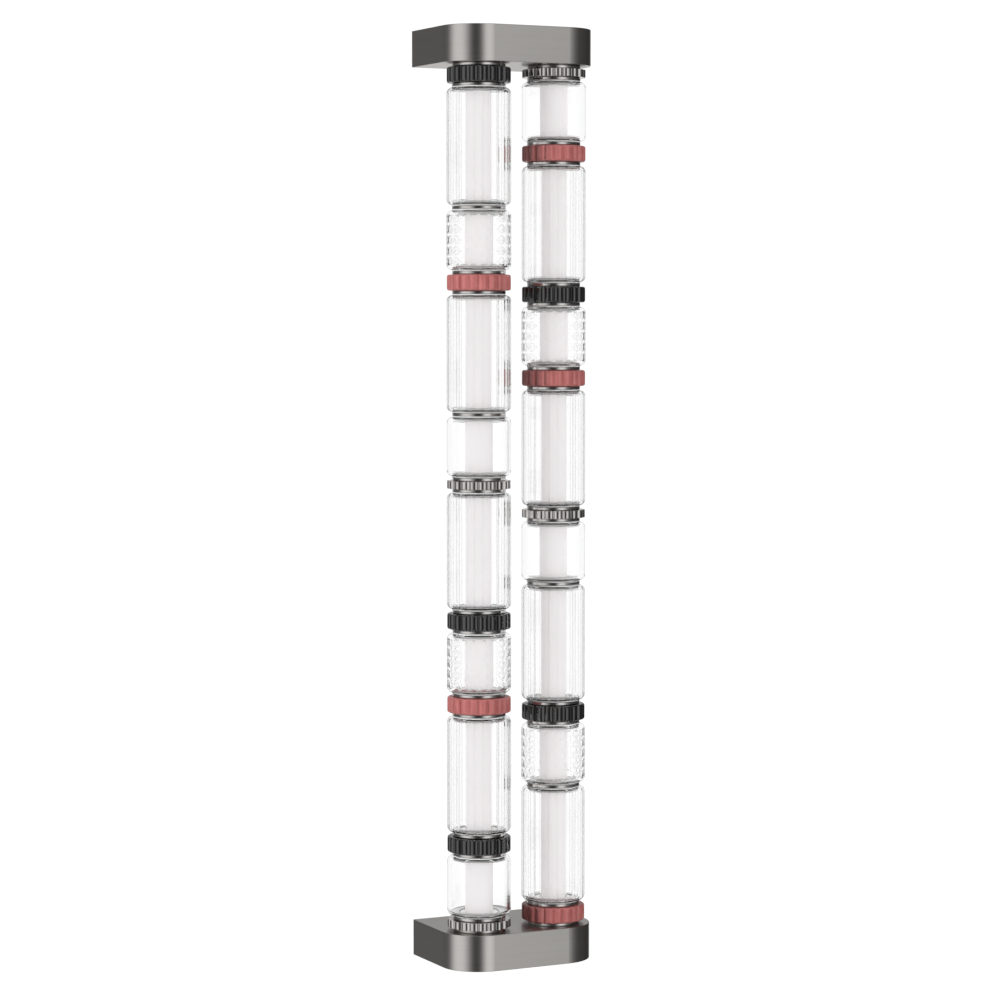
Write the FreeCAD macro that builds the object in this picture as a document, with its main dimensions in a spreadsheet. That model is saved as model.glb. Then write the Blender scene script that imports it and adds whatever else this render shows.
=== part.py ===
import FreeCAD, Part

import math
import os

import Sketcher
from FreeCAD import Placement, Rotation, Vector

# Twin-column LED wall lamp. Two flat-backed metal housings hold two upright columns between them.
# Each column is a stack of glass sleeves, grip rings on turned spools and plain collars, threaded
# over an opal diffuser tube and drawn together by a tie rod from housing to housing.
# The right column is the left one turned upside down, with its black and rose rings exchanged.
#
# Frame: millimetres, +Z up, the front faces -Y. The origin is the middle of the four wall screws,
# on the wall plane y = 0, halfway up the lamp.

os.makedirs("parts", exist_ok=True)
doc = FreeCAD.newDocument("twin_column_wall_lamp")

DIMENSIONS = (
    ("block_width", 150.0, "housing, side to side"),
    ("block_height", 34.0, "housing, bottom to top"),
    ("block_front", 103.0, "wall to the front of the housing"),
    ("block_rear_gap", 0.5, "wall to the rear edge of the housing"),
    ("block_corner", 36.0, "radius of the two front corners"),
    ("block_edge", 0.6, "rounding of the housing's outer edges"),
    ("block_wall", 3.0, "wall of the housing"),
    ("column_spacing", 78.0, "column axis to column axis"),
    ("column_reach", 70.0, "wall to the column axes"),
    ("column_length", 808.6, "between the housings' facing sides"),
    ("glass_diameter", 60.0, "outside of a glass sleeve"),
    ("glass_wall", 3.0, "wall of a glass sleeve"),
    ("glass_shoulder", 5.0, "outer rounding at a sleeve's ends"),
    ("glass_inner_round", 2.5, "inner rounding at a sleeve's ends"),
    ("mouth_radius", 18.6, "opening in each end of a sleeve"),
    ("long_glass", 108.5, "height of a fluted sleeve"),
    ("short_glass", 55.5, "height of a clear or dimpled sleeve"),
    ("flute_count", 24, "flutes round a fluted sleeve"),
    ("flute_cutter", 2.4, "radius of the flute's section"),
    ("flute_depth", 0.8, "depth of a flute"),
    ("flute_turn", 10.9, "degrees from +X to a flute"),
    ("gasket_height", 0.5, "silicone gasket between glass and metal"),
    ("gasket_diameter", 50.0, "outside of a gasket"),
    ("ring_diameter", 60.0, "outside of a grip ring"),
    ("ring_gap", 15.0, "spool width for a coloured ring"),
    ("steel_ring_gap", 7.5, "spool width for a steel ring"),
    ("ring_side_play", 0.1, "ring face to flange"),
    ("ring_round", 2.4, "rounding of a coloured ring's rims"),
    ("steel_ring_round", 0.6, "rounding of a steel ring's rims"),
    ("rib_count", 20, "finger ribs round a ring"),
    ("rib_radius", 5.8, "radius of a rib's rounded section"),
    ("rib_trim", 0.05, "how much of a rib's crest the ring's outside trims off"),
    ("rib_turn", 9.4, "degrees from +X to a gap between ribs"),
    ("sleeve_radius", 20.0, "bearing surface of a spool"),
    ("bearing_play", 0.05, "radial clearance of a ring on its spool"),
    ("flange_diameter", 50.0, "flanges and collars"),
    ("flange_height", 3.4, "height of a spool flange"),
    ("flange_round", 0.9, "rounding of the flanges' rims"),
    ("collar_height", 3.5, "height of a plain collar"),
    ("spigot_radius", 18.0, "centring spigot inside a sleeve's mouth"),
    ("spigot_height", 2.8, "height of a centring spigot"),
    ("spool_bore", 13.3, "radius of the bore round the diffuser"),
    ("seat_radius", 18.2, "hole in the housing for the end spigot"),
    ("tube_diameter", 26.0, "outside of the opal diffuser tube"),
    ("tube_wall", 2.0, "wall of the diffuser tube"),
    ("end_play", 0.5, "play at each end of the tube and the core"),
    ("end_cap_radius", 22.0, "clamping disc inside the housing"),
    ("end_cap_height", 3.0, "thickness of the clamping disc"),
    ("boss_radius", 10.8, "boss that centres the diffuser tube"),
    ("boss_height", 6.0, "length of that boss"),
    ("lead_hole_radius", 1.6, "hole for the light strips' leads"),
    ("lead_hole_reach", 7.4, "rod axis to the lead hole"),
    ("core_width", 13.0, "square light core"),
    ("core_chamfer", 1.5, "corners of the light core"),
    ("strip_width", 8.0, "light strip board"),
    ("strip_height", 1.2, "thickness of that board"),
    ("strip_margin", 4.0, "core end to board end"),
    ("diode_width", 3.5, "light-emitting chip"),
    ("diode_height", 0.8, "how far a chip stands up"),
    ("diode_length", 5.0, "chip along the strip"),
    ("diode_count", 24, "chips along a strip"),
    ("rod_radius", 4.0, "M8 tie rod"),
    ("rod_clearance", 0.2, "radial clearance round the tie rod"),
    ("rod_overrun", 2.5, "rod end beyond its nut"),
    ("nut_width", 13.0, "M8 nut across flats"),
    ("nut_height", 6.5, "M8 nut"),
    ("washer_radius", 8.0, "M8 washer"),
    ("washer_height", 1.6, "M8 washer"),
    ("plate_width", 120.0, "wall plate, side to side"),
    ("plate_sheet", 2.0, "sheet of the wall plate"),
    ("plate_tab", 20.0, "wall to the tip of the bent tab"),
    ("plate_gap", 1.4, "wall plate to the housing's inside, up and down"),
    ("plate_bend", 2.5, "outer radius of the bend"),
    ("screw_spacing", 100.0, "wall screw to wall screw, side to side"),
    ("screw_hole_radius", 2.75, "hole for a 5 mm wall screw"),
    ("bush_radius", 7.0, "cable bush in its hole"),
    ("bush_flange", 9.0, "flange of the cable bush"),
    ("bush_bore", 4.0, "radius of the cable bush's bore"),
    ("bush_lip", 2.0, "thickness of that flange"),
    ("earth_offset", 27.0, "middle to the earth screw"),
    ("set_screw_offset", 50.0, "middle to a set screw"),
    ("set_screw_reach", 10.0, "wall to a set screw"),
    ("set_screw_radius", 1.95, "M4 set screw"),
    ("set_screw_hole", 2.0, "tapped hole for it"),
    ("set_screw_length", 4.0, "M4 set screw"),
    ("set_screw_sink", 0.2, "set screw below the surface"),
    ("socket_width", 2.0, "hexagon socket across flats"),
    ("socket_depth", 2.0, "depth of that socket"),
    ("driver_width", 104.0, "driver case, side to side"),
    ("driver_depth", 24.0, "driver case, front to back"),
    ("driver_height", 19.0, "driver case, bottom to top"),
    ("driver_reach", 34.5, "wall to the middle of the driver"),
    ("driver_round", 2.0, "driver case corners"),
    ("ear_length", 9.0, "driver fixing ear"),
    ("ear_height", 2.4, "thickness of an ear"),
    ("ear_screw", 57.0, "middle to a driver screw"),
    ("small_screw_radius", 1.45, "M3 screw"),
    ("small_hole_radius", 1.5, "tapped hole for it"),
    ("small_hole_depth", 2.2, "depth of that hole"),
    ("small_clear_radius", 1.7, "clearance hole in an ear"),
    ("small_head_radius", 2.8, "M3 pan head"),
    ("small_head_height", 2.0, "M3 pan head"),
    ("terminal_width", 30.0, "terminal block, side to side"),
    ("terminal_depth", 17.0, "terminal block, front to back"),
    ("terminal_height", 14.0, "terminal block, bottom to top"),
    ("terminal_pitch", 9.5, "way to way"),
    ("terminal_entry", 1.9, "radius of a wire entry"),
    ("terminal_well", 2.3, "radius of a clamp screw's well"),
)

sheet = doc.addObject("Spreadsheet::Sheet", "dims")
for row, (alias, amount, note) in enumerate(DIMENSIONS, start=1):
    sheet.set(f"A{row}", note)
    sheet.set(f"B{row}", str(amount))
    sheet.setAlias(f"B{row}", alias)
doc.recompute()

# Distances that several parts share, as expressions of the sheet.
GLASS_RADIUS = "dims.glass_diameter / 2"
GLASS_BORE = "(dims.glass_diameter / 2 - dims.glass_wall)"
FLANGE_RADIUS = "dims.flange_diameter / 2"
ROD_HOLE = "(dims.rod_radius + dims.rod_clearance)"
COLUMN_TOP = "dims.column_length / 2"
INNER_FACE = "(dims.column_length / 2 + dims.block_wall)"
FLOOR = "-(dims.column_length / 2 + dims.block_height - dims.block_wall)"
CORE_LENGTH = "(dims.column_length + 2 * (dims.block_wall - dims.boss_height - dims.end_play))"
STRIP_LENGTH = f"({CORE_LENGTH} - 2 * dims.strip_margin)"
PLATE_LOW = "(dims.block_wall + dims.plate_gap)"
PLATE_HIGH = "(dims.block_height - dims.block_wall - dims.plate_gap)"
SIDES = {"left": "-dims.column_spacing / 2", "right": "dims.column_spacing / 2"}
FAR = "400"  # a cut that long runs right through any housing or sleeve

nodes = {}


def value(expression):
    """An expression of the sheet as a plain number."""
    return float(sheet.evalExpression(expression))


def new_body(name):
    body = doc.addObject("PartDesign::Body", name)
    body.Label = name
    return body


def origin_feature(body, role):
    return next(item for item in body.Origin.OriginFeatures if item.Role == role)


def new_sketch(body, name, role, lift=None):
    """A sketch on one of the body's own planes, moved along its normal by lift."""
    sketch = body.newObject("Sketcher::SketchObject", name)
    sketch.AttachmentSupport = [(origin_feature(body, role), "")]
    sketch.MapMode = "FlatFace"
    if lift:
        sketch.setExpression("AttachmentOffset.Base.z", lift)
    return sketch


def fix_point(sketch, item, point, across, up):
    """Tie a sketch point to the sheet: across and up are expressions."""
    for kind, axis, expression in (("DistanceX", -2, across), ("DistanceY", -1, up)):
        distance = value(expression)
        if distance == 0:
            sketch.addConstraint(Sketcher.Constraint("PointOnObject", item, point, axis))
            continue
        index = sketch.addConstraint(Sketcher.Constraint(kind, -1, 1, item, point, distance))
        sketch.setExpression(f"Constraints[{index}]", expression)


def polygon(sketch, corners):
    """A closed outline through corners, each a pair of expressions."""
    points = [Vector(value(across), value(up), 0) for across, up in corners]
    first = sketch.GeometryCount
    count = len(points)
    for index in range(count):
        sketch.addGeometry(Part.LineSegment(points[index], points[(index + 1) % count]))
    for index in range(count):
        following = first + (index + 1) % count
        sketch.addConstraint(Sketcher.Constraint("Coincident", first + index, 2, following, 1))
    for index, (across, up) in enumerate(corners):
        fix_point(sketch, first + index, 1, across, up)


def rectangle(sketch, left, right, low, high):
    polygon(sketch, ((left, low), (right, low), (right, high), (left, high)))


def rounded_outline(sketch, side, front, rear, corner):
    """A rectangle, +-side across, whose two front corners are arcs."""
    near, inset = f"({front} + {corner})", f"({side} - {corner})"
    corners = ((f"-{side}", rear), (f"-{side}", near), (f"-{inset}", front),
               (inset, front), (side, near), (side, rear))
    points = [Vector(value(across), value(up), 0) for across, up in corners]
    arcs = {1: (f"-{inset}", math.pi), 3: (inset, 1.5 * math.pi)}
    for index, point in enumerate(points):
        if index in arcs:
            across, start = arcs[index]
            whole = Part.Circle(Vector(value(across), value(near), 0), Vector(0, 0, 1),
                                value(corner))
            sketch.addGeometry(Part.ArcOfCircle(whole, start, start + math.pi / 2))
        else:
            sketch.addGeometry(Part.LineSegment(point, points[(index + 1) % len(points)]))
    for index, (across, up) in enumerate(corners):
        following = (index + 1) % len(corners)
        sketch.addConstraint(Sketcher.Constraint("Coincident", index, 2, following, 1))
        fix_point(sketch, index, 1, across, up)
    for index in arcs:
        bound = sketch.addConstraint(Sketcher.Constraint("Radius", index, value(corner)))
        sketch.setExpression(f"Constraints[{bound}]", corner)


def gap_between_ribs(sketch, crest, radius, half_pitch):
    """The space between two rounded ribs, one on each side of the X axis.

    Each rib's crest is that far from the origin, at half_pitch degrees from the axis."""
    middle = f"({crest} - {radius})"
    floor = (f"({middle} * cos({half_pitch})"
             f" + sqrt({radius}^2 - ({middle} * sin({half_pitch}))^2))")
    across, up = f"({crest} * cos({half_pitch}))", f"({crest} * sin({half_pitch}))"
    outside = f"({crest} + {radius})"
    corners = ((floor, "0"), (across, up), (outside, up), (outside, f"-{up}"),
               (across, f"-{up}"))
    points = [Vector(value(x), value(y), 0) for x, y in corners]
    turn = math.radians(value(half_pitch))
    lean = math.asin(value(middle) * math.sin(turn) / value(radius))
    arcs = {0: (1, -lean, turn), 4: (-1, -turn, lean)}
    for index, point in enumerate(points):
        if index in arcs:
            side, start, end = arcs[index]
            centre = Vector(value(middle) * math.cos(turn), side * value(middle) * math.sin(turn), 0)
            whole = Part.Circle(centre, Vector(0, 0, 1), value(radius))
            sketch.addGeometry(Part.ArcOfCircle(whole, start, end))
        else:
            sketch.addGeometry(Part.LineSegment(point, points[index + 1]))
    for index, (x, y) in enumerate(corners):
        following = (index + 1) % len(corners)
        sketch.addConstraint(Sketcher.Constraint("Coincident", index, 2, following, 1))
        fix_point(sketch, index, 1, x, y)
    for index in arcs:
        bound = sketch.addConstraint(Sketcher.Constraint("Radius", index, value(radius)))
        sketch.setExpression(f"Constraints[{bound}]", radius)


def circle(sketch, across, up, radius):
    centre = Vector(value(across), value(up), 0)
    item = sketch.addGeometry(Part.Circle(centre, Vector(0, 0, 1), value(radius)))
    fix_point(sketch, item, 3, across, up)
    index = sketch.addConstraint(Sketcher.Constraint("Radius", item, value(radius)))
    sketch.setExpression(f"Constraints[{index}]", radius)


def revolve(body, corners, name="turned"):
    """A turned shape: corners are pairs of expressions, radius and height."""
    sketch = new_sketch(body, f"{name}_section", "XZ_Plane")
    polygon(sketch, corners)
    turned = body.newObject("PartDesign::Revolution", name)
    turned.Profile = sketch
    turned.ReferenceAxis = (origin_feature(body, "Z_Axis"), [""])
    turned.Angle = 360
    doc.recompute()
    return turned


def pad(body, sketch, name, length, side="One side"):
    made = body.newObject("PartDesign::Pad", name)
    made.Profile = sketch
    made.SideType = side
    made.setExpression("Length", length)
    doc.recompute()
    return made


def pocket(body, sketch, name, length, side="One side", along_normal=False):
    """Cut against the sketch's normal, or along it; the body has to get lighter."""
    before = body.Tip.Shape.Volume
    cut = body.newObject("PartDesign::Pocket", name)
    cut.Profile = sketch
    cut.SideType = side
    cut.Reversed = along_normal
    cut.setExpression("Length", length)
    doc.recompute()
    if not cut.Shape.Volume < before:
        raise RuntimeError(f"{body.Label}: {name} cuts nothing")
    return cut


def round_edges(body, name, radius, chosen):
    """Fillet the edges of the body's tip that chosen() picks."""
    base = body.Tip
    edges = [f"Edge{n}" for n, edge in enumerate(base.Shape.Edges, start=1) if chosen(edge)]
    fillet = body.newObject("PartDesign::Fillet", name)
    fillet.Base = (base, edges)
    fillet.setExpression("Radius", radius)
    doc.recompute()
    return fillet


def repeat_round(body, feature, name, count):
    """Repeat a feature round the body's Z axis."""
    pattern = body.newObject("PartDesign::PolarPattern", name)
    pattern.Originals = [feature]
    pattern.Axis = (origin_feature(body, "Z_Axis"), [""])
    pattern.Angle = 360
    pattern.setExpression("Occurrences", count)
    body.Tip = pattern
    doc.recompute()
    return pattern


def rim(radius, *heights):
    """A test for the circular edges of that radius at those heights."""
    size = value(radius)
    levels = [value(height) for height in heights]

    def chosen(edge):
        curve = edge.Curve
        if not isinstance(curve, Part.Circle) or abs(curve.Radius - size) > 1e-4:
            return False
        return any(abs(curve.Center.z - level) < 1e-4 for level in levels)

    return chosen


def upright_at(across, depth):
    """A test for the upright edges at +-across, depth."""
    x, y = value(across), value(depth)

    def chosen(edge):
        low, high = edge.Vertexes[0].Point, edge.Vertexes[-1].Point
        upright = abs(low.x - high.x) + abs(low.y - high.y) < 1e-4 < abs(low.z - high.z)
        return upright and abs(abs(low.x) - x) < 1e-4 and abs(low.y - y) < 1e-4

    return chosen


def place(thing, across="0", depth="0", height="0", axis=Vector(0, 0, 1), turn=0.0):
    """Turn a thing about its own origin, then move it there by the sheet."""
    thing.Placement = Placement(Vector(0, 0, 0), Rotation(axis, turn))
    for letter, expression in (("x", across), ("y", depth), ("z", height)):
        thing.setExpression(f"Placement.Base.{letter}", expression)
    return thing


def group(label, members):
    """Like pieces that share one node, as separate solids."""
    compound = doc.addObject("Part::Compound", label)
    compound.Label = label
    compound.Links = members
    nodes[label] = compound


# ---------------------------------------------------------------- glass sleeves


def glass_sleeve(name, length, fluted=False):
    """A tube with a rounded shoulder and a drawn-in mouth at each end."""
    body = new_body(name)
    inner_low, inner_high = "dims.glass_wall", f"({length} - dims.glass_wall)"
    revolve(body, (
        ("dims.mouth_radius", "0"),
        (GLASS_RADIUS, "0"),
        (GLASS_RADIUS, length),
        ("dims.mouth_radius", length),
        ("dims.mouth_radius", inner_high),
        (GLASS_BORE, inner_high),
        (GLASS_BORE, inner_low),
        ("dims.mouth_radius", inner_low),
    ))
    round_edges(body, "shoulders", "dims.glass_shoulder", rim(GLASS_RADIUS, "0", length))
    round_edges(body, "inner_rounds", "dims.glass_inner_round",
                rim(GLASS_BORE, inner_low, inner_high))
    if fluted:
        section = new_sketch(body, "flute_section", "XY_Plane")
        reach = f"{GLASS_RADIUS} - dims.flute_depth + dims.flute_cutter"
        circle(section, reach, "0", "dims.flute_cutter")
        flute = pocket(body, section, "flute", FAR, "Symmetric")
        repeat_round(body, flute, "flutes", "dims.flute_count")
    return body


# ---------------------------------------------------------------- grip rings and spools


def grip_ring(name, gap, rounding):
    """A ring with rounded finger ribs, which turns on its spool."""
    body = new_body(name)
    bore = "(dims.sleeve_radius + dims.bearing_play)"
    outside = "dims.ring_diameter / 2"
    low, high = "dims.ring_side_play", f"({gap} - dims.ring_side_play)"
    revolve(body, ((bore, low), (outside, low), (outside, high), (bore, high)))
    round_edges(body, "rims", rounding, rim(outside, low, high))
    section = new_sketch(body, "gap_section", "XY_Plane")
    gap_between_ribs(section, f"({outside} + dims.rib_trim)", "dims.rib_radius",
                     "(180 / dims.rib_count)")
    repeat_round(body, pocket(body, section, "gap", FAR, "Symmetric"), "gaps", "dims.rib_count")
    return body


def spool(name, gap):
    """The lower flange, its centring spigot and the sleeve that a ring turns on."""
    body = new_body(name)
    top = f"(dims.flange_height + {gap})"
    revolve(body, (
        ("dims.spool_bore", "-dims.spigot_height"),
        ("dims.spigot_radius", "-dims.spigot_height"),
        ("dims.spigot_radius", "0"),
        (FLANGE_RADIUS, "0"),
        (FLANGE_RADIUS, "dims.flange_height"),
        ("dims.sleeve_radius", "dims.flange_height"),
        ("dims.sleeve_radius", top),
        ("dims.spool_bore", top),
    ))
    round_edges(body, "flange_rims", "dims.flange_round",
                rim(FLANGE_RADIUS, "0", "dims.flange_height"))
    return body


def spool_cap(name):
    """The upper flange of a spool, with the spigot for the sleeve above."""
    body = new_body(name)
    top = "(dims.flange_height + dims.spigot_height)"
    revolve(body, (
        ("dims.spool_bore", "0"),
        (FLANGE_RADIUS, "0"),
        (FLANGE_RADIUS, "dims.flange_height"),
        ("dims.spigot_radius", "dims.flange_height"),
        ("dims.spigot_radius", top),
        ("dims.spool_bore", top),
    ))
    round_edges(body, "flange_rims", "dims.flange_round",
                rim(FLANGE_RADIUS, "0", "dims.flange_height"))
    return body


def plain_collar(name):
    """A collar between two sleeves, with a spigot each way."""
    body = new_body(name)
    top = "(dims.collar_height + dims.spigot_height)"
    revolve(body, (
        ("dims.spool_bore", "-dims.spigot_height"),
        ("dims.spigot_radius", "-dims.spigot_height"),
        ("dims.spigot_radius", "0"),
        (FLANGE_RADIUS, "0"),
        (FLANGE_RADIUS, "dims.collar_height"),
        ("dims.spigot_radius", "dims.collar_height"),
        ("dims.spigot_radius", top),
        ("dims.spool_bore", top),
    ))
    round_edges(body, "collar_rims", "dims.flange_round",
                rim(FLANGE_RADIUS, "0", "dims.collar_height"))
    return body


def flat_ring(name, inside, outside, height):
    """A gasket or washer."""
    body = new_body(name)
    section = new_sketch(body, "section", "XY_Plane")
    circle(section, "0", "0", inside)
    circle(section, "0", "0", outside)
    pad(body, section, "sheet", height)
    return body


# ---------------------------------------------------------------- the two columns

# The left column from the bottom up. A module is a ring on its spool, a sleeve or a collar.
LEFT_STACK = (
    "steel_ring", "clear_glass", "black_ring", "fluted_glass", "rose_ring", "dimpled_glass",
    "black_ring", "fluted_glass", "steel_ring", "clear_glass", "collar", "fluted_glass",
    "rose_ring", "dimpled_glass", "collar", "fluted_glass", "black_ring",
)
EXCHANGED = {"black_ring": "rose_ring", "rose_ring": "black_ring"}
RIGHT_STACK = tuple(EXCHANGED.get(kind, kind) for kind in reversed(LEFT_STACK))

GAPS = {
    "black_ring": "dims.ring_gap",
    "rose_ring": "dims.ring_gap",
    "steel_ring": "dims.steel_ring_gap",
}
ROUNDS = {
    "black_ring": "dims.ring_round",
    "rose_ring": "dims.ring_round",
    "steel_ring": "dims.steel_ring_round",
}
GLASS_LENGTHS = {
    "fluted_glass": "dims.long_glass",
    "dimpled_glass": "dims.short_glass",
    "clear_glass": "dims.short_glass",
}
MODULE_HEIGHTS = {
    **{kind: f"(2 * dims.flange_height + {gap})" for kind, gap in GAPS.items()},
    **{kind: f"(2 * dims.gasket_height + {length})" for kind, length in GLASS_LENGTHS.items()},
    "collar": "dims.collar_height",
}


def build_column(side, stack, collars):
    """Place one column's modules; the collars of both columns share a list."""
    across = SIDES[side]
    spools, caps, gaskets, seen = [], [], [], {}
    below = []
    for kind in stack:
        base = " + ".join([f"-{COLUMN_TOP}"] + [MODULE_HEIGHTS[lower] for lower in below])
        seen[kind] = seen.get(kind, 0) + 1
        label = f"{kind}_{side}_{seen[kind]}"
        if kind in GAPS:
            gap = GAPS[kind]
            ring_base = f"{base} + dims.flange_height"
            cap_base = f"{ring_base} + {gap}"
            nodes[label] = place(grip_ring(label, gap, ROUNDS[kind]), across, "-dims.column_reach",
                                 ring_base, turn=value("dims.rib_turn"))
            spools.append(place(spool(f"{label}_spool", gap), across, "-dims.column_reach", base))
            caps.append(place(spool_cap(f"{label}_cap"), across, "-dims.column_reach", cap_base))
        elif kind in GLASS_LENGTHS:
            length = GLASS_LENGTHS[kind]
            glass_base = f"{base} + dims.gasket_height"
            glass = glass_sleeve(label, length, fluted=kind == "fluted_glass")
            nodes[label] = place(glass, across, "-dims.column_reach", glass_base,
                                 turn=value("dims.flute_turn"))
            for end, level in (("lower", base), ("upper", f"{glass_base} + {length}")):
                gasket = flat_ring(f"{label}_{end}_gasket", "dims.mouth_radius",
                                   "dims.gasket_diameter / 2", "dims.gasket_height")
                gaskets.append(place(gasket, across, "-dims.column_reach", level))
        else:
            collars.append(place(plain_collar(label), across, "-dims.column_reach", base))
        below.append(kind)
    group(f"ring_spools_{side}", spools)
    group(f"spool_caps_{side}", caps)
    group(f"glass_gaskets_{side}", gaskets)


def diffuser_tube(side):
    """The opal tube that runs the whole height of a column."""
    tube = flat_ring(f"diffuser_tube_{side}", "dims.tube_diameter / 2 - dims.tube_wall",
                     "dims.tube_diameter / 2",
                     "dims.column_length + 2 * (dims.block_wall - dims.end_play)")
    low = f"-{INNER_FACE} + dims.end_play"
    nodes[tube.Label] = place(tube, SIDES[side], "-dims.column_reach", low)


def light_core(side):
    """A square aluminium extrusion, bored for the tie rod."""
    body = new_body(f"light_core_{side}")
    section = new_sketch(body, "section", "XY_Plane")
    half = "dims.core_width / 2"
    rectangle(section, f"-{half}", half, f"-{half}", half)
    circle(section, "0", "0", ROD_HOLE)
    pad(body, section, "extrusion", CORE_LENGTH)
    round_edges(body, "corners", "dims.core_chamfer", upright_at(half, half))
    round_edges(body, "rear_corners", "dims.core_chamfer", upright_at(half, f"-{half}"))
    nodes[body.Label] = place(body, SIDES[side], "-dims.column_reach", f"-{CORE_LENGTH} / 2")


def light_strips(side):
    """Four strips, one on each flat of the core."""
    strips = []
    face = "dims.core_width / 2"
    board = f"({face} + dims.strip_height)"
    for quarter in range(4):
        body = new_body(f"light_strip_{side}_{quarter + 1}")
        section = new_sketch(body, "board_section", "XY_Plane")
        rectangle(section, face, board, "-dims.strip_width / 2", "dims.strip_width / 2")
        pad(body, section, "board", STRIP_LENGTH)
        spacing = f"{STRIP_LENGTH} / dims.diode_count"
        chip = new_sketch(body, "diode_section", "XY_Plane", f"({spacing} - dims.diode_length) / 2")
        rectangle(chip, board, f"{board} + dims.diode_height", "-dims.diode_width / 2",
                  "dims.diode_width / 2")
        diode = pad(body, chip, "diode", "dims.diode_length")
        row = body.newObject("PartDesign::LinearPattern", "diodes")
        row.Originals = [diode]
        row.Direction = (origin_feature(body, "Z_Axis"), [""])
        row.setExpression("Length", f"{STRIP_LENGTH} - {spacing}")
        row.setExpression("Occurrences", "dims.diode_count")
        body.Tip = row
        strips.append(place(body, SIDES[side], "-dims.column_reach", f"-{STRIP_LENGTH} / 2",
                            turn=90 * quarter))
    group(f"light_strips_{side}", strips)


def tie_rod(side):
    rod = doc.addObject("Part::Cylinder", f"tie_rod_{side}")
    reach = f"({INNER_FACE} + dims.end_cap_height + dims.washer_height + dims.nut_height"
    reach += " + dims.rod_overrun)"
    rod.setExpression("Radius", "dims.rod_radius")
    rod.setExpression("Height", f"2 * {reach}")
    nodes[rod.Label] = place(rod, SIDES[side], "-dims.column_reach", f"-{reach}")


def end_cap(name):
    """Clamping disc on the housing's inside, with a boss into the diffuser tube."""
    body = new_body(name)
    revolve(body, (
        (ROD_HOLE, "-dims.boss_height"),
        ("dims.boss_radius", "-dims.boss_height"),
        ("dims.boss_radius", "0"),
        ("dims.end_cap_radius", "0"),
        ("dims.end_cap_radius", "dims.end_cap_height"),
        (ROD_HOLE, "dims.end_cap_height"),
    ))
    section = new_sketch(body, "lead_hole_section", "XY_Plane")
    circle(section, "dims.lead_hole_reach", "0", "dims.lead_hole_radius")
    pocket(body, section, "lead_hole", "4 * dims.boss_height", "Symmetric")
    return body


def rod_nut(name):
    """An M8 hexagon nut, its bore the rod's size with the thread left plain."""
    block = doc.addObject("Part::Prism", f"{name}_blank")
    block.Polygon = 6
    block.setExpression("Circumradius", "dims.nut_width / sqrt(3)")
    block.setExpression("Height", "dims.nut_height")
    bore = doc.addObject("Part::Cylinder", f"{name}_bore")
    bore.setExpression("Radius", "dims.rod_radius")
    bore.setExpression("Height", "dims.nut_height")
    nut = doc.addObject("Part::Cut", name)
    nut.Base = block
    nut.Tool = bore
    return nut


def rod_ends():
    """A cap, a washer and a nut at both ends of both tie rods."""
    caps, washers, nuts = [], [], []
    for side, across in SIDES.items():
        for end, turn in (("top", 0), ("bottom", 180)):
            sign = "" if end == "top" else "-"
            levels = [f"{sign}{INNER_FACE}"]
            levels.append(f"{sign}({INNER_FACE} + dims.end_cap_height)")
            levels.append(f"{sign}({INNER_FACE} + dims.end_cap_height + dims.washer_height)")
            name = f"{side}_{end}"
            washer = flat_ring(f"washer_{name}", ROD_HOLE, "dims.washer_radius",
                               "dims.washer_height")
            for piece, level, pieces in (
                (end_cap(f"end_cap_{name}"), levels[0], caps),
                (washer, levels[1], washers),
                (rod_nut(f"nut_{name}"), levels[2], nuts),
            ):
                pieces.append(place(piece, across, "-dims.column_reach", level,
                                    axis=Vector(0, 1, 0), turn=turn))
    group("tube_end_caps", caps)
    group("rod_washers", washers)
    group("rod_nuts", nuts)


# ---------------------------------------------------------------- housings and wall plates

# A housing and its wall plate are drawn with the column side at z = 0 and the outer side up.
# The bottom pair is the same shape turned half a turn about Y.


def place_at_end(thing, end, across="0", depth="0", height="0"):
    """Put a thing drawn in the housing's own frame at the top or the bottom end."""
    if end == "top":
        return place(thing, across, depth, f"{COLUMN_TOP} + {height}", axis=Vector(0, 1, 0))
    return place(thing, across, depth, f"-({COLUMN_TOP} + {height})", axis=Vector(0, 1, 0),
                 turn=180)


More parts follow.
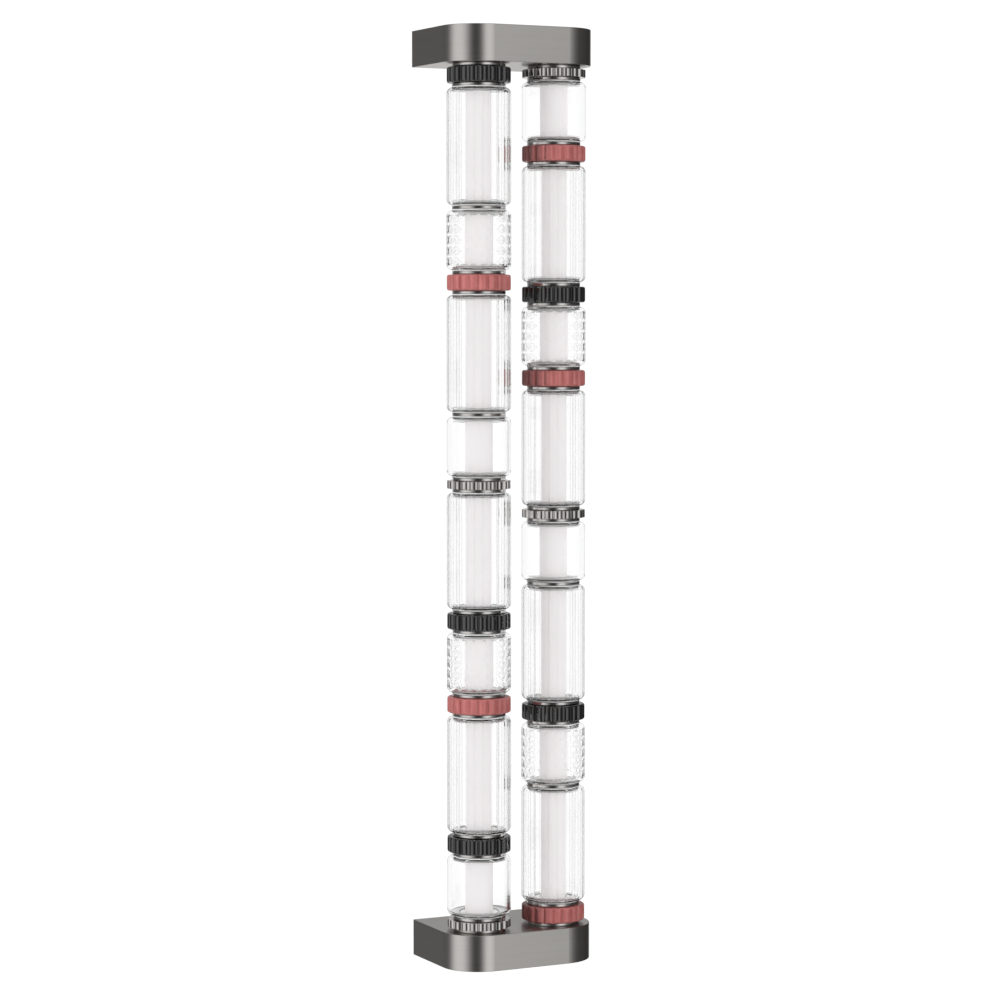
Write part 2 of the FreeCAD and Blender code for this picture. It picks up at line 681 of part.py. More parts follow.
def housing(end):
    """A shell open at the back, with a seat for each column."""
    body = new_body(f"{end}_housing")
    side, front, rear = "dims.block_width / 2", "-dims.block_front", "-dims.block_rear_gap"
    outline = new_sketch(body, "outline", "XY_Plane")
    rounded_outline(outline, side, front, rear, "dims.block_corner")
    pad(body, outline, "block", "dims.block_height")

    levels = (0.0, value("dims.block_height"))
    rear_depth = value(rear)

    def is_rim(edge):
        flat = [all(abs(v.Point.z - level) < 1e-4 for v in edge.Vertexes) for level in levels]
        at_rear = all(abs(v.Point.y - rear_depth) < 1e-4 for v in edge.Vertexes)
        return any(flat) and not at_rear

    round_edges(body, "outer_edges", "dims.block_edge", is_rim)

    inner_side = f"({side} - dims.block_wall)"
    inner_front = "(dims.block_wall - dims.block_front)"
    cavity = new_sketch(body, "cavity_outline", "XY_Plane", "dims.block_height / 2")
    rounded_outline(cavity, inner_side, inner_front, "dims.block_wall",
                    "(dims.block_corner - dims.block_wall)")
    pocket(body, cavity, "cavity", "dims.block_height - 2 * dims.block_wall", "Symmetric")

    seats = new_sketch(body, "seat_section", "XY_Plane")
    for across in SIDES.values():
        circle(seats, across, "-dims.column_reach", "dims.seat_radius")
    pocket(body, seats, "seats", "dims.block_wall", along_normal=True)

    taps = new_sketch(body, "set_screw_section", "XY_Plane", "dims.block_height")
    for sign in ("-", ""):
        circle(taps, f"{sign}dims.set_screw_offset", "-dims.set_screw_reach", "dims.set_screw_hole")
    pocket(body, taps, "set_screw_holes", "dims.block_wall")

    if end == "bottom":
        inside = "dims.block_height - dims.block_wall"
        holes = new_sketch(body, "driver_screw_section", "XY_Plane", inside)
        for sign in ("-", ""):
            circle(holes, f"{sign}dims.ear_screw", "-dims.driver_reach", "dims.small_hole_radius")
        pocket(body, holes, "driver_screw_holes", "dims.small_hole_depth", along_normal=True)
    nodes[body.Label] = place_at_end(body, end)


def wall_plate(end):
    """Bent sheet screwed to the wall; the housing slides over it and its tab."""
    body = new_body(f"{end}_wall_plate")
    section = new_sketch(body, "section", "YZ_Plane")
    inner = f"({PLATE_HIGH} - dims.plate_sheet)"
    polygon(section, (
        ("0", PLATE_LOW),
        ("0", PLATE_HIGH),
        ("-dims.plate_tab", PLATE_HIGH),
        ("-dims.plate_tab", inner),
        ("-dims.plate_sheet", inner),
        ("-dims.plate_sheet", PLATE_LOW),
    ))
    pad(body, section, "bent_sheet", "dims.plate_width", "Symmetric")
    high = value(PLATE_HIGH)

    def is_bend(edge):
        return all(abs(v.Point.y) < 1e-4 and abs(v.Point.z - high) < 1e-4 for v in edge.Vertexes)

    round_edges(body, "bend", "dims.plate_bend", is_bend)
    holes = new_sketch(body, "hole_section", "XZ_Plane")
    middle = "dims.block_height / 2"
    for sign in ("-", ""):
        circle(holes, f"{sign}dims.screw_spacing / 2", middle, "dims.screw_hole_radius")
    if end == "bottom":
        circle(holes, "0", middle, "dims.bush_radius")
        circle(holes, "dims.earth_offset", middle, "dims.set_screw_hole")
    pocket(body, holes, "holes", "4 * dims.plate_sheet", "Symmetric")
    nodes[body.Label] = place_at_end(body, end)


def cable_bush():
    """Rubber bush for the supply cable, flush with the back of the bottom wall plate."""
    body = new_body("cable_bush")
    lip = "dims.plate_sheet + dims.bush_lip"
    revolve(body, (
        ("dims.bush_bore", "0"),
        ("dims.bush_radius", "0"),
        ("dims.bush_radius", "dims.plate_sheet"),
        ("dims.bush_flange", "dims.plate_sheet"),
        ("dims.bush_flange", lip),
        ("dims.bush_bore", lip),
    ))
    middle = f"-({COLUMN_TOP} + dims.block_height / 2)"
    nodes[body.Label] = place(body, height=middle, axis=Vector(1, 0, 0), turn=90)


def pan_head_screw(name, radius, length, head_radius, head_height):
    """Head up, the shank hanging from z = 0; the thread is left plain."""
    body = new_body(name)
    revolve(body, (
        ("0", f"-({length})"),
        (radius, f"-({length})"),
        (radius, "0"),
        (head_radius, "0"),
        (head_radius, head_height),
        ("0", head_height),
    ))
    round_edges(body, "head_rim", f"{head_height} / 3", rim(head_radius, head_height))
    return body


def earth_screw():
    """The earth terminal on the bottom wall plate, its head towards the lamp's front."""
    screw = pan_head_screw("earth_screw", "dims.set_screw_radius", "0.95 * dims.plate_sheet",
                           "2 * dims.set_screw_radius", "1.3 * dims.set_screw_radius")
    middle = f"-({COLUMN_TOP} + dims.block_height / 2)"
    nodes[screw.Label] = place(screw, "-dims.earth_offset", "-dims.plate_sheet", middle,
                               axis=Vector(1, 0, 0), turn=90)


def set_screws():
    """Hexagon-socket screws through the outer walls, bearing on the wall plates' tabs."""
    screws = []
    for end in ("top", "bottom"):
        for hand, sign in (("left", "-"), ("right", "")):
            name = f"set_screw_{end}_{hand}"
            shank = doc.addObject("Part::Cylinder", f"{name}_shank")
            shank.setExpression("Radius", "dims.set_screw_radius")
            shank.setExpression("Height", "dims.set_screw_length")
            socket = doc.addObject("Part::Prism", f"{name}_socket")
            socket.Polygon = 6
            socket.setExpression("Circumradius", "dims.socket_width / sqrt(3)")
            socket.setExpression("Height", "2 * dims.socket_depth")
            socket.setExpression("Placement.Base.z", "dims.set_screw_length - dims.socket_depth")
            screw = doc.addObject("Part::Cut", name)
            screw.Base = shank
            screw.Tool = socket
            tip = "(dims.block_height - dims.set_screw_sink - dims.set_screw_length)"
            screws.append(place_at_end(screw, end, f"{sign}dims.set_screw_offset",
                                       "-dims.set_screw_reach", tip))
    group("set_screws", screws)


# ---------------------------------------------------------------- electrics in the bottom housing


def led_driver():
    """Driver case with a fixing ear at each end."""
    body = new_body("led_driver")
    half_width, half_depth = "dims.driver_width / 2", "dims.driver_depth / 2"
    outline = new_sketch(body, "case_outline", "XY_Plane")
    rectangle(outline, f"-{half_width}", half_width, f"-{half_depth}", half_depth)
    pad(body, outline, "case", "dims.driver_height")
    round_edges(body, "front_corners", "dims.driver_round", upright_at(half_width, f"-{half_depth}"))
    round_edges(body, "rear_corners", "dims.driver_round", upright_at(half_width, half_depth))
    ears = new_sketch(body, "ear_outline", "XY_Plane")
    ear_end = f"({half_width} + dims.ear_length)"
    rectangle(ears, f"-{ear_end}", ear_end, "-dims.ear_length / 2", "dims.ear_length / 2")
    pad(body, ears, "ears", "dims.ear_height")
    holes = new_sketch(body, "ear_hole_section", "XY_Plane")
    for sign in ("-", ""):
        circle(holes, f"{sign}dims.ear_screw", "0", "dims.small_clear_radius")
    pocket(body, holes, "ear_holes", "dims.ear_height", along_normal=True)
    nodes[body.Label] = place(body, depth="-dims.driver_reach", height=FLOOR)


def driver_screws():
    screws = []
    for hand, sign in (("left", "-"), ("right", "")):
        length = "dims.ear_height + 0.9 * dims.small_hole_depth"
        screw = pan_head_screw(f"driver_screw_{hand}", "dims.small_screw_radius", length,
                               "dims.small_head_radius", "dims.small_head_height")
        screws.append(place(screw, f"{sign}dims.ear_screw", "-dims.driver_reach",
                            f"{FLOOR} + dims.ear_height"))
    group("driver_screws", screws)


def terminal_block():
    """Three-way block: wire entries front to back, clamp-screw wells from above."""
    body = new_body("terminal_block")
    outline = new_sketch(body, "outline", "XY_Plane")
    rectangle(outline, "-dims.terminal_width / 2", "dims.terminal_width / 2",
              "-dims.terminal_depth / 2", "dims.terminal_depth / 2")
    pad(body, outline, "block", "dims.terminal_height")
    entries = new_sketch(body, "entry_section", "XZ_Plane")
    wells = new_sketch(body, "well_section", "XY_Plane", "dims.terminal_height")
    for way in (-1, 0, 1):
        circle(entries, f"{way} * dims.terminal_pitch", "dims.terminal_height / 3",
               "dims.terminal_entry")
        circle(wells, f"{way} * dims.terminal_pitch", "0", "dims.terminal_well")
    pocket(body, entries, "entries", "2 * dims.terminal_depth", "Symmetric")
    pocket(body, wells, "wells", "dims.terminal_height / 2")
    nodes[body.Label] = place(body, depth="-dims.column_reach", height=FLOOR)


# ---------------------------------------------------------------- assembly

shared_collars = []
build_column("left", LEFT_STACK, shared_collars)
build_column("right", RIGHT_STACK, shared_collars)
group("plain_collars", shared_collars)
for hand in SIDES:
    diffuser_tube(hand)
    light_core(hand)
    light_strips(hand)
    tie_rod(hand)
rod_ends()
for which in ("top", "bottom"):
    housing(which)
    wall_plate(which)
set_screws()
cable_bush()
earth_screw()
led_driver()
driver_screws()
terminal_block()

doc.recompute()
stack_height = sum(value(MODULE_HEIGHTS[kind]) for kind in LEFT_STACK)
if abs(stack_height - value("dims.column_length")) > 1e-6:
    raise RuntimeError(f"the stack is {stack_height} mm high, not the column's length")
for item in doc.Objects:
    if "Invalid" in item.State or "Error" in item.State:
        raise RuntimeError(f"{item.Label} failed: {item.State}")
for label, node in nodes.items():
    if node.Shape.isNull() or not node.Shape.isValid():
        raise RuntimeError(f"{label} has no valid shape")
for label, node in nodes.items():
    node.Shape.exportStep(f"parts/{label}.step")
print(len(nodes), "nodes,", sum(len(node.Shape.Solids) for node in nodes.values()), "solids")
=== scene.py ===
import math

import bmesh
import bpy
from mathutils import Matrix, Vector


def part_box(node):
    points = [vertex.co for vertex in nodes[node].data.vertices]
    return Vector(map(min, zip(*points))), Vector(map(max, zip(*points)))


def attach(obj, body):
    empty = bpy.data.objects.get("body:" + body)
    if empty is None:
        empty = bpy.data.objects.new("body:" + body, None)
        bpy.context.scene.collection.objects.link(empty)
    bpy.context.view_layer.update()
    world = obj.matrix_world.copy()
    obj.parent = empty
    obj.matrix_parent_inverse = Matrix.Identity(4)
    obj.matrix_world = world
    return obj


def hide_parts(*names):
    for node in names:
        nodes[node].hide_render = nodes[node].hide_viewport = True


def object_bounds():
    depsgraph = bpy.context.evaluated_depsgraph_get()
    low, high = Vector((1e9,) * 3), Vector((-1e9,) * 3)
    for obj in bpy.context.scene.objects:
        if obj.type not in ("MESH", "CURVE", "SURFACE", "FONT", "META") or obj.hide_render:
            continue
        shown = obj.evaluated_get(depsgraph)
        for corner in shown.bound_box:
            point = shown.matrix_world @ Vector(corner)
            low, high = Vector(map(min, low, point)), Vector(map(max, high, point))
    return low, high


# Looks of the twin-column wall lamp, in metres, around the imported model. The lamp faces -Y.
# The three kinds of glass sleeve and the grip rings are modelled here in finer detail than the CAD;
# every other node stays as it is and gets a procedural material.

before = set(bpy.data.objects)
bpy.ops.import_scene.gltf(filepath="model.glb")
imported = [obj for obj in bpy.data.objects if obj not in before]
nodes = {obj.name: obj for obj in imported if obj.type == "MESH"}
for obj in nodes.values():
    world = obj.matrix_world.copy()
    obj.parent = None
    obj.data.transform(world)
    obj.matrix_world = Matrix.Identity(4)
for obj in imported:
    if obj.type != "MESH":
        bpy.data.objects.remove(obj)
cad_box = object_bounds()
scene = bpy.context.scene
MM = 0.001
FULL_TURN = 2 * math.pi

# The plain materials that come with the model make way for the ones of the same name below.
for imported in list(bpy.data.materials):
    imported.name = "cad_" + imported.name

# ---------------------------------------------------------------- node helpers

materials = {}


def new_material(name):
    """A new node material, listed by its name, as (Principled shader, node tree)."""
    material = bpy.data.materials.new(name)
    material.use_nodes = True
    materials[name] = material
    tree = material.node_tree
    shader = next(n for n in tree.nodes if n.type == "BSDF_PRINCIPLED")
    return shader, tree


def add(tree, kind, inputs=None, **settings):
    """A node with its inputs set or linked: a socket links, anything else is a value."""
    node = tree.nodes.new(kind)
    for name, setting in settings.items():
        setattr(node, name, setting)
    for key, given in (inputs or {}).items():
        if isinstance(given, bpy.types.NodeSocket):
            tree.links.new(given, node.inputs[key])
        else:
            node.inputs[key].default_value = given
    return node


def math_node(tree, operation, *values):
    return add(tree, "ShaderNodeMath", dict(enumerate(values)), operation=operation).outputs[0]


def ramp(tree, factor, stops, interpolation="LINEAR"):
    """A colour ramp from (position, colour) stops; a number stands for a grey."""
    node = add(tree, "ShaderNodeValToRGB", {"Fac": factor})
    node.color_ramp.interpolation = interpolation
    elements = node.color_ramp.elements
    while len(elements) < len(stops):
        elements.new(0.5)
    for element, (position, _) in zip(elements, stops):
        element.position = position
    for element, (_, colour) in zip(elements, stops):
        if not isinstance(colour, tuple):
            colour = (colour, colour, colour)
        element.color = (*colour, 1.0)
    return node.outputs[0]


def scaled_position(tree, scale):
    """The object's own coordinates, in metres, scaled along each axis."""
    position = add(tree, "ShaderNodeTexCoord").outputs["Object"]
    return add(tree, "ShaderNodeMapping", {"Vector": position, "Scale": scale}).outputs[0]


def noise(tree, vector, detail=2.0, roughness=0.5):
    return add(tree, "ShaderNodeTexNoise", {"Vector": vector, "Scale": 1.0, "Detail": detail,
                                            "Roughness": roughness}).outputs[0]


def mix_numbers(tree, factor, low, high):
    """low where the factor is 0, high where it is 1."""
    return add(tree, "ShaderNodeMapRange", {"Value": factor, "To Min": low,
                                            "To Max": high}).outputs[0]


INPUT_NAMES = {"colour": "Base Color", "roughness": "Roughness", "metallic": "Metallic",
               "ior": "IOR", "transmission": "Transmission Weight", "normal": "Normal",
               "anisotropic": "Anisotropic", "tangent": "Tangent", "glow": "Emission Color",
               "glow_strength": "Emission Strength"}


def set_inputs(tree, shader, **inputs):
    """Sets or links the Principled shader's inputs by the short names above."""
    for key, given in inputs.items():
        socket = shader.inputs[INPUT_NAMES[key]]
        if isinstance(given, bpy.types.NodeSocket):
            tree.links.new(given, socket)
        else:
            socket.default_value = (*given, 1.0) if isinstance(given, tuple) else given


def bump(tree, height, distance, strength):
    return add(tree, "ShaderNodeBump", {"Height": height, "Distance": distance,
                                        "Strength": strength}).outputs[0]


# ---------------------------------------------------------------- materials


def brushed_nickel():
    """Satin nickel, brushed along the housing's sides and along X on its flat faces."""
    shader, tree = new_material("brushed_nickel")
    normal = add(tree, "ShaderNodeNewGeometry").outputs["Normal"]
    upright = add(tree, "ShaderNodeSeparateXYZ", {"Vector": normal}).outputs["Z"]
    is_flat = math_node(tree, "GREATER_THAN", math_node(tree, "ABSOLUTE", upright), 0.7)
    on_sides = noise(tree, scaled_position(tree, (14.0, 14.0, 1500.0)), 4.0, 0.6)
    on_flats = noise(tree, scaled_position(tree, (14.0, 1500.0, 1500.0)), 4.0, 0.6)
    hair = add(tree, "ShaderNodeMix", {"Factor": is_flat, "A": on_sides, "B": on_flats}).outputs[0]
    broad = noise(tree, scaled_position(tree, (6.0, 6.0, 260.0)), 2.0)
    streaks = math_node(tree, "ADD", math_node(tree, "MULTIPLY", hair, 0.65),
                        math_node(tree, "MULTIPLY", broad, 0.35))
    colour = ramp(tree, streaks, ((0.3, (0.545, 0.527, 0.503)), (0.7, (0.60, 0.582, 0.557))))
    # Brushing spreads a reflection across the strokes: up and down on the sides, along Y on the
    # flat faces, where only the tangent's small part along Y counts.
    across = add(tree, "ShaderNodeCombineXYZ", {"X": 0.0, "Y": 0.01, "Z": 1.0}).outputs[0]
    set_inputs(tree, shader, colour=colour, metallic=1.0, anisotropic=0.6, tangent=across,
               roughness=mix_numbers(tree, streaks, 0.27, 0.35),
               normal=bump(tree, streaks, 0.004 * MM, 0.5))


def polished_steel():
    """Turned and polished, with faint rings from the lathe and a few cloudy patches."""
    shader, tree = new_material("polished_steel")
    lines = noise(tree, scaled_position(tree, (60.0, 60.0, 4000.0)), 3.0)
    cloud = noise(tree, scaled_position(tree, (90.0, 90.0, 90.0)), 3.0)
    colour = ramp(tree, cloud, ((0.3, (0.55, 0.53, 0.515)), (0.7, (0.64, 0.62, 0.605))))
    set_inputs(tree, shader, colour=colour, metallic=1.0,
               roughness=mix_numbers(tree, cloud, 0.08, 0.16),
               normal=bump(tree, lines, 0.004 * MM, 0.4))


def moulded(name, dark, light, rough_low, rough_high, grain=0.03 * MM, ior=1.5):
    """A moulded resin with a fine grain and a slight clouding of its colour."""
    shader, tree = new_material(name)
    cloud = noise(tree, scaled_position(tree, (110.0, 110.0, 160.0)), 4.0, 0.6)
    fine = noise(tree, scaled_position(tree, (2600.0, 2600.0, 2600.0)), 2.0)
    set_inputs(tree, shader, colour=ramp(tree, cloud, ((0.3, dark), (0.7, light))), metallic=0.0,
               roughness=mix_numbers(tree, cloud, rough_low, rough_high), ior=ior,
               normal=bump(tree, fine, grain, 0.5))


def glass(name, line, crescent, most=0.38):
    """Clear glass with painted shade: a little grey where it is seen at a slant and on its relief.

    The painted shade takes from the relief the share of light that line says where it is seen
    square on, what crescent says more at a slant, and never above most."""
    shader, tree = new_material(name)
    slant = add(tree, "ShaderNodeLayerWeight", {"Blend": 0.5}).outputs["Facing"]
    # painted shade: the glass greys towards its outline, where it is seen at a slant
    slant_shade = ramp(tree, slant, ((0.1, (1.0, 1.0, 1.0)), (0.35, (0.985, 0.985, 0.987)),
                              (0.7, (0.955, 0.956, 0.958)), (1.0, (0.82, 0.823, 0.827))))
    clouding = noise(tree, scaled_position(tree, (60.0, 60.0, 25.0)), 2.0)
    melt = ramp(tree, clouding, ((0.3, (0.990, 0.993, 0.991)), (0.7, (1.0, 1.0, 1.0))))
    # painted shade on the flutes and dimples, as strong as the mesh attribute says
    relief = add(tree, "ShaderNodeAttribute", attribute_name="relief").outputs["Fac"]
    steepening = math_node(tree, "MULTIPLY", slant, slant)
    relief_shade = math_node(tree, "MINIMUM", math_node(tree, "MULTIPLY_ADD", steepening, crescent, line),
                     most)
    kept = math_node(tree, "SUBTRACT", 1.0, math_node(tree, "MULTIPLY", relief, relief_shade))
    colour = add(tree, "ShaderNodeVectorMath", {0: slant_shade, 1: melt}, operation="MULTIPLY").outputs[0]
    colour = add(tree, "ShaderNodeVectorMath", {0: colour, 3: kept}, operation="SCALE").outputs[0]
    set_inputs(tree, shader, colour=colour, roughness=0.0, ior=1.46, transmission=1.0)


def opal():
    """White acrylic with a satin skin and a faint painted glow, which stands in for light coming
    through it.
    """
    shader, tree = new_material("opal_acrylic")
    cloud = noise(tree, scaled_position(tree, (40.0, 40.0, 12.0)), 3.0)
    # painted light: the glow brightens the unlit tube as if studio light shone through the acrylic
    set_inputs(tree, shader, colour=ramp(tree, cloud, ((0.3, (0.86, 0.845, 0.85)),
                                                       (0.7, (0.90, 0.885, 0.89)))),
               roughness=mix_numbers(tree, cloud, 0.35, 0.5), ior=1.49,
               glow=(1.0, 0.93, 0.945), glow_strength=0.27)


def silicone():
    """Translucent white silicone for the gaskets."""
    shader, tree = new_material("clear_silicone")
    cloud = noise(tree, scaled_position(tree, (300.0, 300.0, 300.0)), 2.0)
    set_inputs(tree, shader, colour=ramp(tree, cloud, ((0.3, (0.80, 0.81, 0.82)),
                                                       (0.7, (0.88, 0.89, 0.90)))),
               roughness=mix_numbers(tree, cloud, 0.35, 0.5), ior=1.41)


def plain_metal(name, dark, light, rough_low, rough_high, scale):
    """A metal clouded at the given scale, in colour, roughness and height."""
    shader, tree = new_material(name)
    cloud = noise(tree, scaled_position(tree, scale), 4.0, 0.6)
    set_inputs(tree, shader, colour=ramp(tree, cloud, ((0.3, dark), (0.7, light))), metallic=1.0,
               roughness=mix_numbers(tree, cloud, rough_low, rough_high),
               normal=bump(tree, cloud, 0.02 * MM, 0.4))


brushed_nickel()
polished_steel()
moulded("black_resin", (0.003, 0.0028, 0.0028), (0.007, 0.0065, 0.0065), 0.12, 0.18, 0.01 * MM, 1.9)
moulded("rose_resin", (0.36, 0.105, 0.098), (0.43, 0.135, 0.127), 0.28, 0.38, 0.01 * MM, 1.6)
glass("fluted_glass", line=0.15, crescent=0.3)
glass("clear_glass", line=0.0, crescent=0.0)
glass("dimpled_glass", line=0.0, crescent=2.0)
opal()
silicone()
plain_metal("light_core", (0.62, 0.62, 0.63), (0.75, 0.75, 0.76), 0.3, 0.5, (400.0, 400.0, 8.0))
moulded("light_strips", (0.80, 0.80, 0.76), (0.88, 0.88, 0.84), 0.4, 0.55)
plain_metal("zinc_steel", (0.50, 0.51, 0.53), (0.68, 0.69, 0.70), 0.25, 0.45, (500.0, 500.0, 500.0))
plain_metal("zinc_sheet", (0.46, 0.47, 0.49), (0.64, 0.65, 0.67), 0.3, 0.55, (130.0, 130.0, 130.0))
plain_metal("blackened_steel", (0.03, 0.03, 0.032), (0.07, 0.07, 0.072), 0.35, 0.5,
            (600.0, 600.0, 600.0))
moulded("driver_case", (0.72, 0.72, 0.70), (0.80, 0.80, 0.78), 0.45, 0.6, 0.06 * MM)
moulded("terminal_nylon", (0.66, 0.64, 0.58), (0.76, 0.74, 0.68), 0.4, 0.55)
moulded("black_rubber", (0.012, 0.012, 0.012), (0.025, 0.025, 0.025), 0.6, 0.8, 0.06 * MM)
plain_metal("brass", (0.62, 0.44, 0.18), (0.78, 0.58, 0.26), 0.22, 0.4, (400.0, 400.0, 400.0))

# Each slot keeps its name, and with it gets the material of that name.
for node in nodes.values():
    for slot in node.material_slots:
        slot.material = materials[slot.material.name.removeprefix("cad_").split(".")[0]]


# ---------------------------------------------------------------- turned pieces

# Glass sleeves. Each turn is the angle from +X to a flute or dimple.
GLASS_WALL = 3.0 * MM
SHOULDER = 5.0 * MM  # outer rounding at both ends
INNER_ROUND = 2.5 * MM
MOUTH = 18.6 * MM  # radius of the opening at both ends
LIP = 0.5 * MM  # rounding of the mouth's edges
SEAT = 0.05 * MM  # a sleeve stops this short of its gasket
FLUTES, FLUTE_TURN = 24, math.radians(10.9)
FLUTE_HALF_WIDTH, FLUTE_DEPTH = 1.2 * MM, 0.45 * MM
DIMPLE_ROWS, DIMPLES_ROUND, DIMPLE_TURN = 5, 20, math.radians(1.1)
DIMPLE_PITCH, DIMPLE_REACH, DIMPLE_DEPTH = 10.0 * MM, 4.3 * MM, 0.75 * MM

# Grip rings. The turn is the angle from +X to a groove between two ribs.
RIBS, RIB_TURN = 20, math.radians(9.4)
RIB_RADIUS = 4.9 * MM
RIB_TRIM = 0.05 * MM  # turned off the ribs' crests
RIB_BLEND = 0.3 * MM  # rounding where a rib's flank meets its crest
RIBBED_DEPTH = 3.0 * MM  # how far in from the crests the ribs shape a ring
RING_BORE = 20.05 * MM  # radius
RING_RIM = {"steel": 0.6 * MM, "black": 2.4 * MM, "rose": 2.4 * MM}  # rounding of the outer edges
BORE_EDGE = 0.3 * MM  # rounding of the bore's edges
RING_SLOTS = {"steel": "polished_steel", "black": "black_resin", "rose": "rose_resin"}

# Fineness of the meshes: round the axis, up a straight wall and along each kind of rounding.
SEGMENTS = {"fluted": 480, "dimpled": 480, "clear": 256, "ring": 480}
WALL_STEPS = {"fluted": 6, "dimpled": 110, "clear": 6, "ring": 4}
SHOULDER_STEPS, ROUND_STEPS, EDGE_STEPS = 12, 8, 3


def arc(centre, radius, start, end, steps):
    """Points on an arc, as (distance from the axis, height)."""
    points = []
    for step in range(steps + 1):
        angle = math.radians(start + (end - start) * step / steps)
        points.append((centre[0] + radius * math.cos(angle), centre[1] + radius * math.sin(angle)))
    return points


def straight(across, bottom, top, steps):
    """Points up a straight wall, without its two ends."""
    return [(across, bottom + (top - bottom) * step / steps) for step in range(1, steps)]


def soft_minimum(first, second, blend):
    """The smaller of two lengths, with the crossing rounded over."""
    near = max(blend - abs(first - second), 0.0) / blend
    return min(first, second) - near * near * blend / 4


def off_nearest(angle, count, turn):
    """The angle from the nearest of count features, spread evenly round from the angle turn."""
    pitch = FULL_TURN / count
    return (angle - turn + pitch / 2) % pitch - pitch / 2


def flute(radius, angle):
    """The depth of the soft flutes down a sleeve, and the strength of the painted grey line of
    shade along each.
    """
    off = off_nearest(angle, FLUTES, FLUTE_TURN)
    across = min(abs(radius * off) / FLUTE_HALF_WIDTH, 1.0)
    nearness = math.cos(math.pi / 2 * across) ** 2
    return FLUTE_DEPTH * nearness, nearness


def dimple(radius, angle, height, length):
    """The depth of the round dimples round a sleeve, and the strength of their painted crescents of
    shade.
    """
    off = off_nearest(angle, DIMPLES_ROUND, DIMPLE_TURN)
    row = round((height - length / 2) / DIMPLE_PITCH)
    distance = math.hypot(radius * off, height - length / 2 - row * DIMPLE_PITCH)
    if abs(row) > DIMPLE_ROWS // 2 or distance >= DIMPLE_REACH:
        return 0.0, 0.0
    ball = (DIMPLE_REACH ** 2 + DIMPLE_DEPTH ** 2) / (2 * DIMPLE_DEPTH)
    pressed = math.sqrt(ball ** 2 - distance ** 2) - (ball - DIMPLE_DEPTH)
    return pressed, (distance / DIMPLE_REACH) ** 2


def turned(name, section, segments, shape, body, slot):
    """A closed section of (distance from the axis, height) points swept round a CAD node's axis,
    in place of that node.

    shape(across, up, angle) gives the distance from the axis that a point of the section has at
    that angle, and how strongly painted shade shows on the relief there, from 0 to 1."""
    low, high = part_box(name)
    centre = (low + high) / 2
    mesh = bmesh.new()
    # how strongly painted shade shows on the glass's relief, per vertex
    relief = mesh.verts.layers.float.new("relief")
    rings = []
    for across, up in section:
        ring = []
        for segment in range(segments):
            angle = FULL_TURN * segment / segments
            reach, strength = shape(across, up, angle)
            vertex = mesh.verts.new((centre.x + reach * math.cos(angle),
                                     centre.y + reach * math.sin(angle), low.z + up))
            vertex[relief] = strength
            ring.append(vertex)
        rings.append(ring)
    for ring, following in zip(rings, rings[1:] + rings[:1]):
        for segment in range(segments):
            after = (segment + 1) % segments
            corners = (ring[segment], ring[after], following[after], following[segment])
            mesh.faces.new(corners).smooth = True
    bmesh.ops.recalc_face_normals(mesh, faces=mesh.faces)
    data = bpy.data.meshes.new(name + "_visual")
    mesh.to_mesh(data)
    mesh.free()
    data.materials.append(materials[slot])
    made = bpy.data.objects.new(name + "_visual", data)
    scene.collection.objects.link(made)
    made.modifiers.new("flats_stay_flat", "WEIGHTED_NORMAL")
    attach(made, body)
    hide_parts(name)


def sleeve(name, kind):
    """A glass sleeve, rounded at both ends and drawn in to a mouth."""
    low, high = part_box(name)
    radius, length = (high.x - low.x) / 2, high.z - low.z
    inner = radius - GLASS_WALL

    def to_full_radius(points):
        """The shoulder's points with those nearest the wall moved out to it."""
        return [(across if across < radius - SEAT else radius, up) for across, up in points]

    outside = to_full_radius(arc((radius - SHOULDER, SHOULDER), SHOULDER - SEAT,
                                 -90, 0, SHOULDER_STEPS))
    outside += straight(radius, SHOULDER, length - SHOULDER, WALL_STEPS[kind])
    outside += to_full_radius(arc((radius - SHOULDER, length - SHOULDER), SHOULDER - SEAT,
                                  0, 90, SHOULDER_STEPS))
    inside = arc((MOUTH + LIP, length - SEAT - LIP), LIP, 90, 180, EDGE_STEPS)
    inside += arc((MOUTH + LIP, length - GLASS_WALL + LIP), LIP, 180, 270, EDGE_STEPS)
    inside += arc((inner - INNER_ROUND, length - GLASS_WALL - INNER_ROUND), INNER_ROUND,
                  90, 0, ROUND_STEPS)
    inside += arc((inner - INNER_ROUND, GLASS_WALL + INNER_ROUND), INNER_ROUND,
                  0, -90, ROUND_STEPS)
    inside += arc((MOUTH + LIP, GLASS_WALL - LIP), LIP, 90, 180, EDGE_STEPS)
    inside += arc((MOUTH + LIP, SEAT + LIP), LIP, 180, 270, EDGE_STEPS)

    def fluted(across, up, angle):
        if across <= inner:
            return across, 0.0
        depth, strength = flute(radius, angle)
        fade = (across - inner) / GLASS_WALL
        return across - depth * fade, strength * fade

    def dimpled(across, up, angle):
        if across < radius:
            return across, 0.0
        depth, strength = dimple(radius, angle, up, length)
        return across - depth, strength

    def clear(across, up, angle):
        return across, 0.0

    shape = {"fluted": fluted, "dimpled": dimpled, "clear": clear}[kind]
    turned(name, outside + inside, SEGMENTS[kind], shape, "lamp", kind + "_glass")


